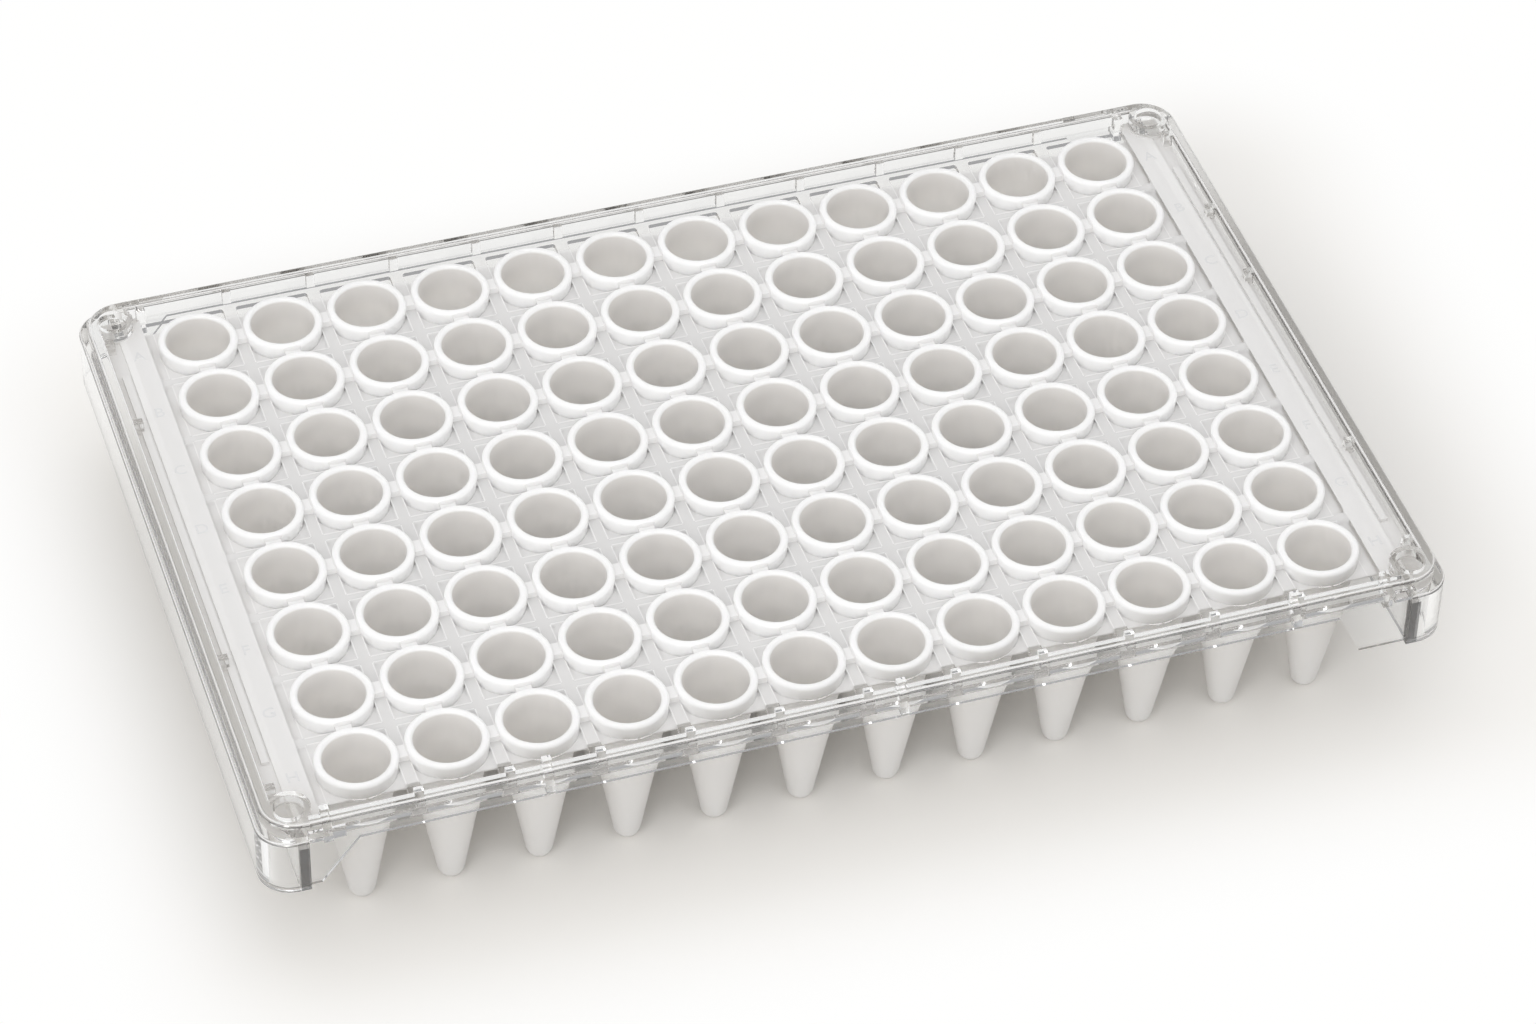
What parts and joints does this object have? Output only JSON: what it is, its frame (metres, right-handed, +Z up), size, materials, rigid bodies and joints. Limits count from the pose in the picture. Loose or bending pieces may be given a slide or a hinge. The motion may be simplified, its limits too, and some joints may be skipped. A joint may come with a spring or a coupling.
{
  "type": "well plate",
  "caption": "Semi-skirted well plate for thermal cycling: white tubes with raised rims, moulded into a stiff clear frame.",
  "frame": {"origin": "middle of the footprint, level with the tips of the tubes", "axes": "+X along the long side, towards the highest column; +Y along the short side, towards row A; +Z up"},
  "size_m": [0.1216, 0.0798, 0.0191],
  "materials": {
    "white_polypropylene": "satin, white, unfilled",
    "clear_polycarbonate": "glossy, clear"
  },
  "bodies": {
    "root": {"well_moulding": "white_polypropylene", "clear_frame": "clear_polycarbonate"}
  },
  "joints": []
}
